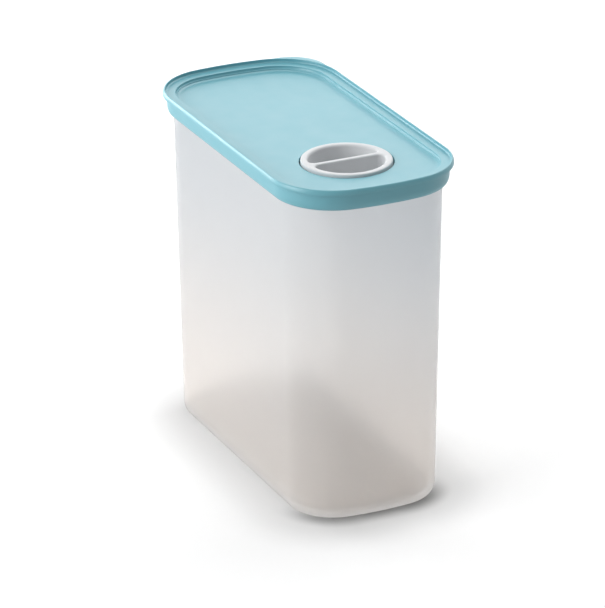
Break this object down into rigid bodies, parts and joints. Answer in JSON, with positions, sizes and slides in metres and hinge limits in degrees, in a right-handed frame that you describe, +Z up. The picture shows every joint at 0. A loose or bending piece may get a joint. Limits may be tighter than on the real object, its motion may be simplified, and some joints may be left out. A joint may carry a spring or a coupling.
{
  "type": "cereal container",
  "caption": "Tall rounded-rectangular storage container for dry food, with a press-on lid and a round rocking pour cap near one end.",
  "frame": {"origin": "centre of the foot that the container stands on, at table level", "axes": "+X along the container's length towards the end with the pour cap, +Y across it, +Z up"},
  "size_m": [0.203, 0.101, 0.1888],
  "materials": {
    "body": "milky translucent, satin",
    "lid": "aqua, satin gloss",
    "cap": "white, satin gloss"
  },
  "bodies": {
    "container": {"container_body": "body"},
    "lid": {"lid": "lid"},
    "cap": {"flip_cap": "cap"}
  },
  "joints": [
    {"name": "lid_lift", "type": "slide", "parent": "container", "child": "lid", "axis": [0, 0, 1], "range_m": [0, 0.06]},
    {"name": "spout_flip", "type": "hinge", "parent": "lid", "child": "cap", "pos_m": [0.0505, 0, 0.18085], "axis": [0, -1, 0], "range_deg": [0, 60]}
  ]
}
